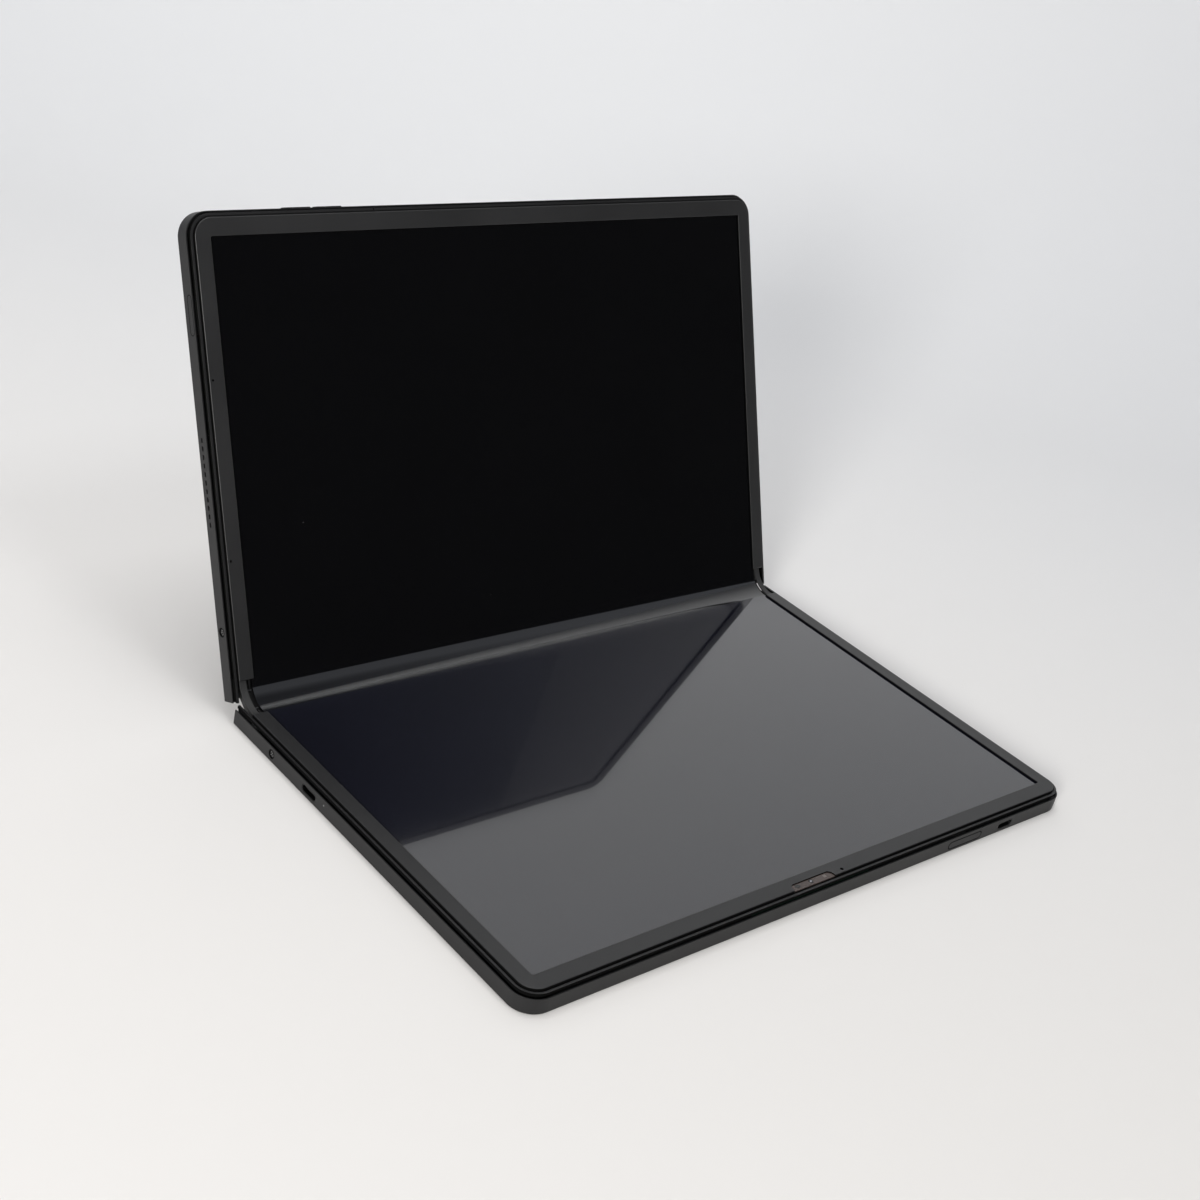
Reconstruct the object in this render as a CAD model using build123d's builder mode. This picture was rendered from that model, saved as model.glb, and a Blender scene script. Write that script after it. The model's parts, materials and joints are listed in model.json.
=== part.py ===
from build123d import *
import os
from math import cos, radians, sin, sqrt, tan

os.makedirs("parts", exist_ok=True)

# Overall sizes, in millimetres
width = 276.2  # along the fold
half_depth = 172.85  # from the fold line to the far edge of one half
thickness = 8.6  # one half, underside to bezel top
corner_radius = 9.0  # far corners, seen from above
open_angle = 113.4  # between the two halves at rest

# Fold: each half turns about its own axis in the spine
axis_offset = 0.7  # each axis from the fold line
axis_height = 8.0  # each axis above the underside
hinge_gap = 0.15  # each half stops this far short of the fold line

# Side frame and back cover
wall = 1.6
frame_height = 6.1
lip_width = 0.45  # thin rim of the wall beside the dark groove under the ledge
lip_depth = 1.1
bottom_rounding = 0.6
cover_thickness = 1.0
cover_inset = 2.2
cover_gap = 0.1
flange_thickness = 0.8
flange_reach = 5.0
flange_start = 9.0  # the flange begins this far from the fold line

# Middle plate with its raised ledge
plate_low = 6.6
plate_thickness = 0.6
plate_start = 8.0
ledge_inset = 0.9
ledge_width = 0.9
ledge_top = 7.7
skirt_thickness = 1.0
skirt_depth = 1.0
skirt_gap = 0.1

# Bezel
bezel_inset = 2.25
bezel_border = 8.35  # outer edge of the half to the visible screen
bezel_far_extra = 0.45  # the border is this much wider along the far edge
bezel_start = 8.0
bezel_rounding = 0.35
rabbet = 0.9  # how far the bezel laps over the screen
rabbet_gap = 0.1

# Screen
screen_thickness = 0.6
screen_inset = 7.6
screen_top = plate_low + plate_thickness + screen_thickness
bend_radius = 11.5
bend_thickness = 0.4

# Flexible end strips beside the screen's bend
strip_inset = (2.4, 4.7)  # left and right, from the half's side
strip_width = 2.6
strip_thickness = 0.6
strip_top = 8.4

# Spine
spine_inset = 4.7  # from the half's side to the spine's end
spine_radius = 6.6  # round each axis
spine_depth = 4.05  # axis plane to the spine's outer face
spine_wall = 1.2
spine_top = 7.1
spine_end_top = 6.0
spine_end_length = 4.0
spine_rounding = 0.8
cap_thickness = 1.5

# Hinge module: arc rails that slide in round grooves of a block
module_from_side = 34.1
rail_inner = 1.6
rail_outer = 2.4
rail_width = 6.0
rail_gap = 0.1
block_wall = 0.8
block_radius = 5.3
arm_low = 6.35
arm_high = 7.05
arm_gap = 0.1
foot_low = 5.4
foot_gap = 0.2  # running clearance round the spine
foot_end = 21.0
foot_width = 14.0
foot_screw_x = 4.5
foot_screw_from_end = 4.0
foot_screw_radius = 0.8
foot_screw_head_radius = 1.5
foot_screw_head = 0.6
foot_screw_bite = 0.45

# Bend guides: small hubs beside the screen's bend
guide_radius = 0.65
guide_width = 1.1
guide_pin_radius = 0.3
guide_pin_gap = 0.05
guide_bracket = 0.7
guide_bracket_gap = 0.4

# Sockets, buttons and side details; u is the distance from the fold line
port_length = 8.94
port_height = 3.16
port_depth = 7.3
port_shell = 0.3
port_gap = 0.08
tongue_length = 6.6
tongue_height = 0.7
tongue_depth = 5.6
port_level = 3.1
side_port_u = 50.45
front_port_from_side = 38.5
port_board = (13.0, 9.0, 0.8)
led_u = 59.7
led_level = 3.9
led_radius = 0.6
led_length = 3.0
power_from_side = 63.1
power_length = 19.0
power_height = 2.6
power_level = 3.0
button_gap = 0.25
button_travel = 0.3
switch_size = (6.0, 2.4, 3.0)
volume_from_side = 53.6
volume_length = 12.0
volume_height = 2.4
volume_spacing = 13.3
volume_level = 3.0
volume_proud = 0.4
sim_u = 137.8
sim_length = 13.6
sim_height = 2.3
sim_level = 4.2
sim_plate = (17.0, 12.0, 0.8)
sim_travel = 16.0
sim_gap = 0.15
reader_wall = 0.3
slot_first_u = 64.6
slot_pitch = 3.0
slot_count = 11
slot_length = 1.9
slot_height = 1.1
slot_level = 3.0
side_screw_u = 25.8
side_screw_level = 3.3
side_screw_radius = 1.3
side_screw_gap = 0.25
side_screw_depth = 1.1
side_screw_recess = 0.35
drive_radius = 0.65
drive_depth = 0.5

# Camera strip in the base's front border
camera_x = -8.15
notch_length = 20.9
notch_width = 3.0
notch_rounding = 2.2
notch_depth = 0.8
window_gap = 0.05
window_thickness = 0.4
camera_size = (8.0, 2.4, 2.6)
camera_slot_gap = 0.3
lens_radius = 1.0
lens_height = 0.2
camera_board = (60.0, 3.6, 0.6)
mic_from_edge = 3.85
mic_radius = 0.65
mic_x = 7.2
lid_mic_u = (51.5, 115.2)
lid_mic_inset = 3.6
lid_mic_radius = 0.45
ledge_mic_from_side = 77.4
ledge_mic_radius = 0.3

# Inside parts: (x size, u size, height) and where they lie
board_top_gap = 0.1
mainboard_side = 43.1  # from the half's side
mainboard_start = 27.0  # from the fold line
mainboard_depth = 46.0
mainboard_thickness = 0.8
chip_height = 1.2
chips = (
    (-25.0, 2.0, 28.0, 22.0),
    (12.0, 4.0, 14.0, 16.0),
    (34.0, 4.0, 14.0, 16.0),
    (70.0, -8.0, 18.0, 12.0),
)
spreader_size = (100.0, 34.0, 0.8)
spreader_offset = 3.0
spreader_gap = 2.0  # from the storage card
spreader_rounding = 3.0
ssd_size = (42.0, 22.0, 2.0)
ssd_from_edge = 22.0  # from the mainboard's end
ssd_offset = 6.0
battery_thickness = 3.4
battery_rounding = 2.0
base_battery_side = 30.1
base_battery_gap = 5.0  # from the mainboard
base_battery_far = 16.85  # from the far edge
lid_battery_side = 36.1
lid_battery_start = 28.0
lid_battery_far = 30.0
joint_strip_size = (20.0, 0.6)  # tape over the gap between two cells
joint_strip_short = 4.0
cell_gap = 0.4
cover_clearance = 0.2
speaker_size = (15.0, 36.0, 4.4)
speaker_rounding = 1.5
wwan_size = (30.0, 12.0, 2.2)
wwan_x = 40.0
wwan_gap = 1.5  # from the battery
antenna_size = (46.0, 6.0, 3.4)
antenna_x = (-30.0, 60.0)
magnet_size = (16.0, 3.0, 2.2)
magnet_from_side = 20.1
magnet_inset = 5.4

# Derived places
fold = (180 - open_angle) / 2  # each half's turn about its own axis
hinge_y = half_depth / 2
half_width = width / 2
module_centre = half_width - module_from_side
front_port_x = half_width - front_port_from_side
power_x = half_width - power_from_side
volume_x = -half_width + volume_from_side
ledge_mic_x = -half_width + ledge_mic_from_side
mic_u = half_depth - mic_from_edge
magnet_x = (-half_width + magnet_from_side, half_width - magnet_from_side)
mainboard_half = half_width - mainboard_side
mainboard_u = mainboard_start + mainboard_depth / 2
plate_top = plate_low + plate_thickness
block_length = 2 * rail_width + 4 * rail_gap + 3 * block_wall
board_top = plate_low - board_top_gap
notch_outer = half_depth - bezel_inset
camera_u = notch_outer - notch_width / 2
camera_level = thickness - notch_depth


def turned(centre, angle, y, z):
    """The point that lies (y, z) from centre after a turn by angle."""
    c = cos(radians(angle))
    s = sin(radians(angle))
    return centre[0] + c * y - s * z, centre[1] + s * y + c * z


def frame_at(origin, angle):
    """A frame whose y runs away from the fold line and whose z is the screen's normal."""
    normal = (0, -sin(radians(angle)), cos(radians(angle)))
    return Plane(origin=(0, *origin), x_dir=(1, 0, 0), z_dir=normal)


base_axis = (hinge_y - axis_offset, axis_height)
lid_axis = turned(base_axis, fold, 2 * axis_offset, 0)
base = Plane(origin=(0, hinge_y, 0), x_dir=(-1, 0, 0), z_dir=(0, 0, 1))
spine = frame_at(turned(base_axis, fold, axis_offset, -axis_height), fold)
lid = frame_at(turned(lid_axis, 2 * fold, -axis_offset, -axis_height), 2 * fold)
base_left = 1  # the base frame's x runs to the object's left
lid_left = -1


def write(piece, name):
    """Labels a finished piece and writes its file."""
    piece.part.label = name
    export_step(piece.part, f"parts/{name}.step")


def across(half, x):
    """A plane square to the fold line: sketch x is u, sketch y is height."""
    return Plane(origin=half.from_local_coords((x, 0, 0)), x_dir=half.y_dir, z_dir=half.x_dir)


def far_face(half, u):
    """A plane facing away from the fold line: sketch x is minus the frame's x, sketch y is height."""
    return Plane(origin=half.from_local_coords((0, u, 0)), x_dir=-half.x_dir, z_dir=half.y_dir)


def side_face(half, side):
    """A plane on a side wall, facing out: sketch x is side times u, sketch y is height."""
    origin = half.from_local_coords((side * half_width, 0, 0))
    return Plane(origin=origin, x_dir=side * half.y_dir, z_dir=side * half.x_dir)


def outline(half, level, inset, start, far_extra=0):
    """One half seen from above, inset from its edge: square at the fold, round at the far corners."""
    far = half_depth - inset - far_extra
    with BuildSketch(half.offset(level)) as shape:
        with Locations((0, (start + far) / 2)):
            Rectangle(width - 2 * inset, far - start)
        far_corners = shape.vertices().group_by(Axis.Y)[-1]
        fillet(far_corners, radius=max(corner_radius - inset, 0.5))
    return shape.sketch


def pill(plane, x, y, length, height):
    """A slot with round ends, drawn on a plane."""
    with BuildSketch(plane) as shape:
        with Locations((x, y)):
            SlotOverall(length, height)
    return shape.sketch


def disc(plane, x, y, radius):
    """A circle drawn on a plane."""
    with BuildSketch(plane) as shape:
        with Locations((x, y)):
            Circle(radius)
    return shape.sketch


def block(half, x, u, low, size):
    """A plain box standing on a level of one half."""
    with BuildPart(half, mode=Mode.PRIVATE) as solid:
        with Locations((x, u, low)):
            Box(*size, align=(Align.CENTER, Align.CENTER, Align.MIN))
    return solid.part


# Side frames
def side_frame(half):
    """The wall round three sides of a half, with a flange that the back cover lies against."""
    with BuildPart() as shell:
        extrude(outline(half, 0, 0, hinge_gap), amount=frame_height)
        underside = shell.faces().sort_by(Axis(half.origin, half.z_dir))[0]
        fold_edges = underside.edges().sort_by(Axis(half.origin, half.y_dir))[0:1]
        rim = [edge for edge in underside.edges() if edge not in fold_edges]
        fillet(rim, radius=bottom_rounding)
        pocket = outline(half, 0, cover_inset - cover_gap, -1)
        extrude(pocket, amount=cover_thickness, mode=Mode.SUBTRACT)
        window = outline(half, cover_thickness, flange_reach, -1)
        extrude(window, amount=flange_thickness, mode=Mode.SUBTRACT)
        inside = outline(half, cover_thickness + flange_thickness, wall, -1)
        extrude(inside, amount=frame_height, mode=Mode.SUBTRACT)
        rebate = outline(half, frame_height - lip_depth, lip_width, -1)
        extrude(rebate, amount=frame_height, mode=Mode.SUBTRACT)
        fold_length = 2 * flange_start
        fold_space = (width - 2 * (cover_inset - cover_gap), fold_length, frame_height)
        add(block(half, 0, 0, 0, fold_space), mode=Mode.SUBTRACT)
    return shell.part


with BuildPart() as base_frame:
    add(side_frame(base))
    side_port = pill(side_face(base, base_left), side_port_u, port_level, port_length, port_height)
    extrude(side_port, amount=-port_depth, mode=Mode.SUBTRACT)
    front = far_face(base, half_depth)
    front_port = pill(front, front_port_x, port_level, port_length, port_height)
    extrude(front_port, amount=-port_depth, mode=Mode.SUBTRACT)
    power_hole_length = power_length + 2 * button_gap
    power_hole = pill(front, power_x, power_level, power_hole_length, power_height + 2 * button_gap)
    extrude(power_hole, amount=-wall - 1, mode=Mode.SUBTRACT)
    led_hole = disc(side_face(base, base_left), led_u, led_level, led_radius)
    extrude(led_hole, amount=-wall - 1, mode=Mode.SUBTRACT)
    for side in (-1, 1):
        hole_radius = side_screw_radius + side_screw_gap
        screw_hole = disc(side_face(base, side), side * side_screw_u, side_screw_level, hole_radius)
        extrude(screw_hole, amount=-side_screw_depth - side_screw_recess, mode=Mode.SUBTRACT)
write(base_frame, "base_frame")

with BuildPart() as lid_frame:
    add(side_frame(lid))
    for side in (-1, 1):
        face = side_face(lid, side)
        for i in range(slot_count):
            slot_u = slot_first_u + i * slot_pitch
            slot = pill(face, side * slot_u, slot_level, slot_length, slot_height)
            extrude(slot, amount=-wall - 0.5, mode=Mode.SUBTRACT)
        screw_hole = disc(face, side * side_screw_u, side_screw_level, side_screw_radius + side_screw_gap)
        extrude(screw_hole, amount=-side_screw_depth - side_screw_recess, mode=Mode.SUBTRACT)
    sim_face = side_face(lid, lid_left)
    sim_hole_length = sim_length + 2 * sim_gap
    sim_hole = pill(sim_face, lid_left * sim_u, sim_level, sim_hole_length, sim_height + 2 * sim_gap)
    extrude(sim_hole, amount=-wall - 1, mode=Mode.SUBTRACT)
    top = far_face(lid, half_depth)
    for i in (-0.5, 0.5):
        place = -(volume_x + i * volume_spacing)
        hole_length = volume_length + 2 * button_gap
        volume_hole = pill(top, place, volume_level, hole_length, volume_height + 2 * button_gap)
        extrude(volume_hole, amount=-wall - 1, mode=Mode.SUBTRACT)
write(lid_frame, "lid_frame")

# Back covers
for name, half in (("base", base), ("lid", lid)):
    with BuildPart() as back_cover:
        extrude(outline(half, 0, cover_inset, hinge_gap), amount=cover_thickness)
    write(back_cover, f"{name}_back_cover")


# Middle plates, which carry the screen and show as a ledge round the bezel
def middle_plate(half):
    """A flat plate with a raised ledge, a locating skirt and a bracket for each bend guide."""
    with BuildPart() as plate:
        extrude(outline(half, plate_low, ledge_inset, hinge_gap), amount=ledge_top - plate_low)
        recess = outline(half, plate_top, ledge_inset + ledge_width, -1)
        extrude(recess, amount=ledge_top - plate_top, mode=Mode.SUBTRACT)
        fold_space = (width - 2 * (ledge_inset + ledge_width), 2 * plate_start, ledge_top)
        add(block(half, 0, 0, 0, fold_space), mode=Mode.SUBTRACT)
        skirt_outer = wall + skirt_gap
        skirt_low = plate_low - skirt_depth
        skirt = outline(half, skirt_low, skirt_outer, flange_start)
        extrude(skirt, amount=skirt_depth)
        hollow = outline(half, skirt_low, skirt_outer + skirt_thickness, -1)
        extrude(hollow, amount=skirt_depth, mode=Mode.SUBTRACT)
        for side in (-1, 1):
            inner = side * (half_width - screen_inset + guide_bracket_gap)
            with BuildSketch(across(half, inner)) as bracket:
                with Locations(guide_centre):
                    Circle(guide_radius)
                reach = plate_start + 1 - guide_centre[0]
                with Locations((guide_centre[0] + reach / 2, plate_low + plate_thickness / 2)):
                    Rectangle(reach, plate_thickness)
                with Locations(guide_centre):
                    Circle(guide_pin_radius + guide_pin_gap, mode=Mode.SUBTRACT)
            extrude(bracket.sketch, amount=side * guide_bracket)
    return plate.part


def bend_centre():
    """Where the screen's bend turns in each half: the pivot that takes it from flat to its arc at rest."""
    corner = -axis_offset + axis_offset / cos(radians(fold))
    corner += (axis_height - screen_top) * tan(radians(fold))
    lift = bend_radius * (1 / cos(radians(fold)) - 1)
    middle_y = corner - lift * sin(radians(fold))
    middle_z = lift * cos(radians(fold))
    spread = 1 / (2 * tan(radians(fold / 2)))
    return -(middle_y / 2 - spread * middle_z), screen_top + middle_z / 2 + spread * middle_y


guide_centre = bend_centre()
camera_slot = (camera_size[0] + 2 * camera_slot_gap, camera_size[1] + 2 * camera_slot_gap, thickness)

with BuildPart() as base_middle_plate:
    add(middle_plate(base))
    add(block(base, -camera_x, camera_u, plate_low - skirt_depth, camera_slot), mode=Mode.SUBTRACT)
write(base_middle_plate, "base_middle_plate")

with BuildPart() as lid_middle_plate:
    add(middle_plate(lid))
    ledge_middle = half_depth - ledge_inset - ledge_width / 2
    mic = disc(lid.offset(plate_low), ledge_mic_x, ledge_middle, ledge_mic_radius)
    extrude(mic, amount=ledge_top, mode=Mode.SUBTRACT)
write(lid_middle_plate, "lid_middle_plate")


# Bezels
def bezel(half):
    """The raised matt border on three sides of a half, lapping over the screen's edge."""
    with BuildPart() as border:
        extrude(outline(half, plate_top, bezel_inset, bezel_start), amount=thickness - plate_top)
        opening = outline(half, plate_top, bezel_border, -1, bezel_far_extra)
        extrude(opening, amount=thickness, mode=Mode.SUBTRACT)
        lap = outline(half, plate_top, bezel_border - rabbet, -1)
        lap_height = screen_thickness + rabbet_gap
        extrude(lap, amount=lap_height, mode=Mode.SUBTRACT)
        top_face = border.faces().sort_by(Axis(half.origin, half.z_dir))[-1]
        fillet(top_face.edges(), radius=bezel_rounding)
    return border.part


def camera_notch(level, gap, overrun):
    """The camera's notch in the outer edge of the base's border, with round inner corners."""
    outer = notch_outer + overrun
    inner = notch_outer - notch_width + gap
    with BuildSketch(base.offset(level)) as shape:
        with Locations((-camera_x, (inner + outer) / 2)):
            Rectangle(notch_length - 2 * gap, outer - inner)
        fillet(shape.vertices().group_by(Axis.Y)[0], radius=notch_rounding)
    return shape.sketch


with BuildPart() as base_bezel:
    add(bezel(base))
    extrude(camera_notch(camera_level, 0, 1), amount=thickness, mode=Mode.SUBTRACT)
    add(block(base, -camera_x, camera_u, 0, camera_slot), mode=Mode.SUBTRACT)
    mic = disc(base.offset(thickness), -mic_x, mic_u, mic_radius)
    extrude(mic, amount=-thickness, mode=Mode.SUBTRACT)
write(base_bezel, "base_bezel")

with BuildPart() as lid_bezel:
    add(bezel(lid))
    for u in lid_mic_u:
        mic = disc(lid.offset(thickness), lid_left * (half_width - lid_mic_inset), u, lid_mic_radius)
        extrude(mic, amount=-thickness, mode=Mode.SUBTRACT)
write(lid_bezel, "lid_bezel")

# Screen: a flat panel on each half and one bend between them
bend_start = bend_radius * tan(radians(fold)) + axis_offset - axis_offset / cos(radians(fold))
bend_start -= (axis_height - screen_top) * tan(radians(fold))

for name, half in (("base", base), ("lid", lid)):
    with BuildPart() as screen:
        extrude(outline(half, plate_top, screen_inset, bend_start), amount=screen_thickness)
    write(screen, f"{name}_screen")


def bent_strip(top, start, depth, x, length):
    """A strip that lies on both halves at height top and bends in one arc between u = start on each."""
    corner = -axis_offset + axis_offset / cos(radians(fold))
    corner += (axis_height - top) * tan(radians(fold))
    radius = (start + corner) / tan(radians(fold))
    drop = (axis_offset * sin(radians(fold)) + axis_height - top) / cos(radians(fold))
    centre = axis_height - drop + radius / cos(radians(fold))
    c = cos(radians(fold))
    s = sin(radians(fold))
    outer = radius + depth
    inner_end = centre - radius * c
    outer_end = centre - outer * c
    with BuildPart() as strip:
        with BuildSketch(across(spine, x)):
            with BuildLine():
                ThreePointArc((-radius * s, inner_end), (0, centre - radius), (radius * s, inner_end))
                ThreePointArc((-outer * s, outer_end), (0, centre - outer), (outer * s, outer_end))
                Line((-radius * s, inner_end), (-outer * s, outer_end))
                Line((radius * s, inner_end), (outer * s, outer_end))
            make_face()
        extrude(amount=length)
    return strip


screen_half = half_width - screen_inset
screen_bend = bent_strip(screen_top, bend_start, bend_thickness, -screen_half, 2 * screen_half)
write(screen_bend, "screen_bend")
left_strip_x = -half_width + strip_inset[0]
right_strip_x = half_width - strip_inset[1] - strip_width
for name, left_edge in (("left", left_strip_x), ("right", right_strip_x)):
    end_strip = bent_strip(strip_top, bezel_start - 0.05, strip_thickness, left_edge, strip_width)
    write(end_strip, f"end_strip_{name}")

# Bend guides: a hub on a pin at each end of the fold, one pair on each half
for name, half in (("base", base), ("lid", lid)):
    with BuildPart() as guide:
        for side in (-1, 1):
            bracket_inner = half_width - screen_inset + guide_bracket_gap
            hub_inner = bracket_inner + guide_bracket + guide_pin_gap
            pin = disc(across(half, side * bracket_inner), *guide_centre, guide_pin_radius)
            extrude(pin, amount=side * (hub_inner - bracket_inner))
            hub = disc(across(half, side * hub_inner), *guide_centre, guide_radius)
            extrude(hub, amount=side * guide_width)
    write(guide, f"{name}_bend_guide")


# Spine
def spine_profile(x, radius, low, high):
    """A section of the spine: round about both axes, cut off level below and above."""
    with BuildSketch(across(spine, x)) as section:
        with Locations((0, axis_height)):
            SlotCenterToCenter(2 * axis_offset, 2 * radius)
        with Locations((0, (low + high) / 2)):
            Rectangle(4 * radius, high - low, mode=Mode.INTERSECT)
    return section.sketch


spine_half = half_width - spine_inset
spine_low = axis_height - spine_depth
spine_floor = spine_low + spine_wall
block_starts = (-module_centre - block_length / 2, module_centre - block_length / 2)
slice_length = rail_width + 2 * rail_gap


def arm_slices(block_start):
    """For each hinge arm of a block: which half it belongs to and where its slice begins."""
    first = block_start + block_wall
    return ((-1, first), (1, first + slice_length + block_wall))


with BuildPart() as spine_cover:
    extrude(spine_profile(-spine_half, spine_radius, spine_low, spine_top), amount=2 * spine_half)
    outer_face = spine_cover.faces().sort_by(Axis(spine.origin, spine.z_dir))[0]
    fillet(outer_face.edges().filter_by(Axis.X), radius=spine_rounding)
    inside = spine_profile(-spine_half, spine_radius - spine_wall, spine_floor, spine_top)
    extrude(inside, amount=2 * spine_half, mode=Mode.SUBTRACT)
    for side in (-1, 1):
        end_cut = (spine_end_length, 4 * spine_radius, spine_top)
        end_x = side * (spine_half - spine_end_length / 2)
        add(block(spine, end_x, 0, spine_end_top, end_cut), mode=Mode.SUBTRACT)
    for start in block_starts:
        for half_side, slice_start in arm_slices(start):
            notch = (slice_length, spine_radius, spine_top)
            notch_x = slice_start + slice_length / 2
            notch_y = half_side * (spine_radius - spine_wall)
            notch_low = arm_low - arm_gap
            add(block(spine, notch_x, notch_y, notch_low, notch), mode=Mode.SUBTRACT)
write(spine_cover, "spine_cover")

for name, x in (("left", -spine_half), ("right", spine_half - cap_thickness)):
    with BuildPart() as spine_cap:
        cap_radius = spine_radius - spine_wall - arm_gap / 2
        extrude(spine_profile(x, cap_radius, spine_floor, spine_end_top), amount=cap_thickness)
    write(spine_cap, f"spine_cap_{name}")

with BuildPart() as spine_stiffener:
    stiffener_half = module_centre - block_length / 2 - 1
    body = spine_profile(-stiffener_half, block_radius, spine_floor, spine_top)
    extrude(body, amount=2 * stiffener_half)
    channel = spine_profile(-stiffener_half, block_radius - block_wall, spine_floor, spine_top - block_wall)
    extrude(channel, amount=2 * stiffener_half, mode=Mode.SUBTRACT)
write(spine_stiffener, "spine_stiffener")

for name, start in zip(("left", "right"), block_starts):
    with BuildPart() as hinge_block:
        extrude(spine_profile(start, block_radius, spine_floor, spine_top), amount=block_length)
        for half_side, slice_start in arm_slices(start):
            with BuildSketch(across(spine, slice_start)) as groove:
                with Locations((half_side * axis_offset, axis_height)):
                    Circle(rail_outer + rail_gap)
                    Circle(rail_inner - rail_gap, mode=Mode.SUBTRACT)
                mouth = 2 * spine_radius
                mouth_y = half_side * (axis_offset + rail_inner + mouth / 2)
                with Locations((mouth_y, arm_low - arm_gap + mouth / 2)):
                    Rectangle(mouth, mouth)
            extrude(groove.sketch, amount=slice_length, mode=Mode.SUBTRACT)
    write(hinge_block, f"hinge_block_{name}")

# Hinge arms: an arc rail, a flat arm and a foot screwed under the middle plate
foot_screw_u = foot_end - foot_screw_from_end
for name, start in zip(("left", "right"), block_starts):
    for half_name, half, (half_side, slice_start) in zip(("base", "lid"), (base, lid), arm_slices(start)):
        middle = slice_start + slice_length / 2
        local_x = middle if half is lid else -middle
        with BuildPart() as hinge_arm:
            with BuildSketch(across(half, local_x - rail_width / 2)) as rail:
                with Locations((axis_offset, axis_height)):
                    Circle(rail_outer)
                    Circle(rail_inner, mode=Mode.SUBTRACT)
                with Locations((axis_offset, arm_high - rail_outer)):
                    Rectangle(2 * rail_outer, 2 * rail_outer, mode=Mode.INTERSECT)
                arm_start = axis_offset + sqrt(rail_outer**2 - (axis_height - arm_low) ** 2)
                arm_end = plate_start - arm_gap
                with Locations(((arm_start - 0.2 + arm_end) / 2, (arm_low + arm_high) / 2)):
                    Rectangle(arm_end - arm_start + 0.2, arm_high - arm_low)
                reach = sqrt((spine_radius + foot_gap) ** 2 - (axis_height - plate_low) ** 2)
                step_start = axis_offset + reach
                with Locations(((step_start + arm_end) / 2, (foot_low + arm_high) / 2)):
                    Rectangle(arm_end - step_start, arm_high - foot_low)
            extrude(rail.sketch, amount=rail_width)
            foot_middle = (step_start + foot_end) / 2
            foot_size = (foot_width, foot_end - step_start, plate_low - foot_low)
            add(block(half, local_x, foot_middle, foot_low, foot_size))
            for screw_x in (local_x - foot_screw_x, local_x + foot_screw_x):
                hole = disc(half.offset(foot_low), screw_x, foot_screw_u, foot_screw_radius)
                extrude(hole, amount=plate_low, mode=Mode.SUBTRACT)
        write(hinge_arm, f"{half_name}_hinge_arm_{name}")

for half_name, half in (("base", base), ("lid", lid)):
    with BuildPart() as arm_screws:
        for start in block_starts:
            slices = arm_slices(start)
            slice_start = slices[1][1] if half is lid else slices[0][1]
            middle = slice_start + slice_length / 2
            local_x = middle if half is lid else -middle
            for screw_x in (local_x - foot_screw_x, local_x + foot_screw_x):
                head = disc(half.offset(foot_low - foot_screw_head), screw_x, foot_screw_u, foot_screw_head_radius)
                extrude(head, amount=foot_screw_head)
                shank = disc(half.offset(foot_low), screw_x, foot_screw_u, foot_screw_radius)
                extrude(shank, amount=plate_low - foot_low)
                socket = disc(half.offset(foot_low - foot_screw_head), screw_x, foot_screw_u, drive_radius)
                extrude(socket, amount=foot_screw_head / 2, mode=Mode.SUBTRACT)
    write(arm_screws, f"{half_name}_hinge_screws")

# Side screws
for half_name, half in (("base", base), ("lid", lid)):
    with BuildPart() as side_screws:
        for side in (-1, 1):
            face = side_face(half, side).offset(-side_screw_recess)
            extrude(disc(face, side * side_screw_u, side_screw_level, side_screw_radius), amount=-side_screw_depth)
            socket = disc(face, side * side_screw_u, side_screw_level, drive_radius)
            extrude(socket, amount=-drive_depth, mode=Mode.SUBTRACT)
    write(side_screws, f"{half_name}_side_screws")


# Sockets
def socket(plane, x):
    """A reversible data and charging socket: a rounded shell, a back wall and a tongue."""
    with BuildPart() as receptacle:
        outer = (port_length - 2 * port_gap, port_height - 2 * port_gap)
        extrude(pill(plane, x, port_level, *outer), amount=-port_depth)
        inner = (outer[0] - 2 * port_shell, outer[1] - 2 * port_shell)
        extrude(pill(plane, x, port_level, *inner), amount=-tongue_depth, mode=Mode.SUBTRACT)
        with BuildSketch(plane.offset(-tongue_depth)) as tongue:
            with Locations((x, port_level)):
                Rectangle(tongue_length, tongue_height)
        extrude(tongue.sketch, amount=tongue_depth - 1)
    return receptacle


flush = 0.1
side_socket = socket(side_face(base, base_left).offset(-flush), base_left * side_port_u)
write(side_socket, "usb_socket_side")
front_socket = socket(far_face(base, half_depth).offset(-flush), front_port_x)
write(front_socket, "usb_socket_front")

board_low = port_level + port_height / 2
board_inset = wall + skirt_gap + skirt_thickness + 0.2
with BuildPart() as side_socket_board:
    board_x = base_left * (half_width - board_inset - port_board[1] / 2)
    side_board_size = (port_board[1], port_board[0], port_board[2])
    add(block(base, board_x, side_port_u, board_low, side_board_size))
write(side_socket_board, "usb_board_side")

with BuildPart() as front_socket_board:
    board_u = half_depth - board_inset - port_board[1] / 2
    add(block(base, -front_port_x, board_u, board_low, port_board))
write(front_socket_board, "usb_board_front")

# Power button and its switch
with BuildPart() as power_button:
    extrude(pill(front, power_x, power_level, power_length, power_height), amount=-wall)
    with BuildSketch(front.offset(-wall)) as stem:
        with Locations((power_x, power_level)):
            Rectangle(switch_size[0] - 1, power_height - 0.6)
    extrude(stem.sketch, amount=-0.6)
write(power_button, "power_button")

with BuildPart() as power_switch:
    switch_front = half_depth - wall - 0.6 - button_travel - 0.05
    switch_u = switch_front - switch_size[1] / 2
    switch_height = plate_low - skirt_depth - 0.1
    low = switch_height - switch_size[2] - 0.2
    add(block(base, -power_x, switch_u, low, (switch_size[0], switch_size[1], switch_size[2] + 0.2)))
write(power_switch, "power_switch")

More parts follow.
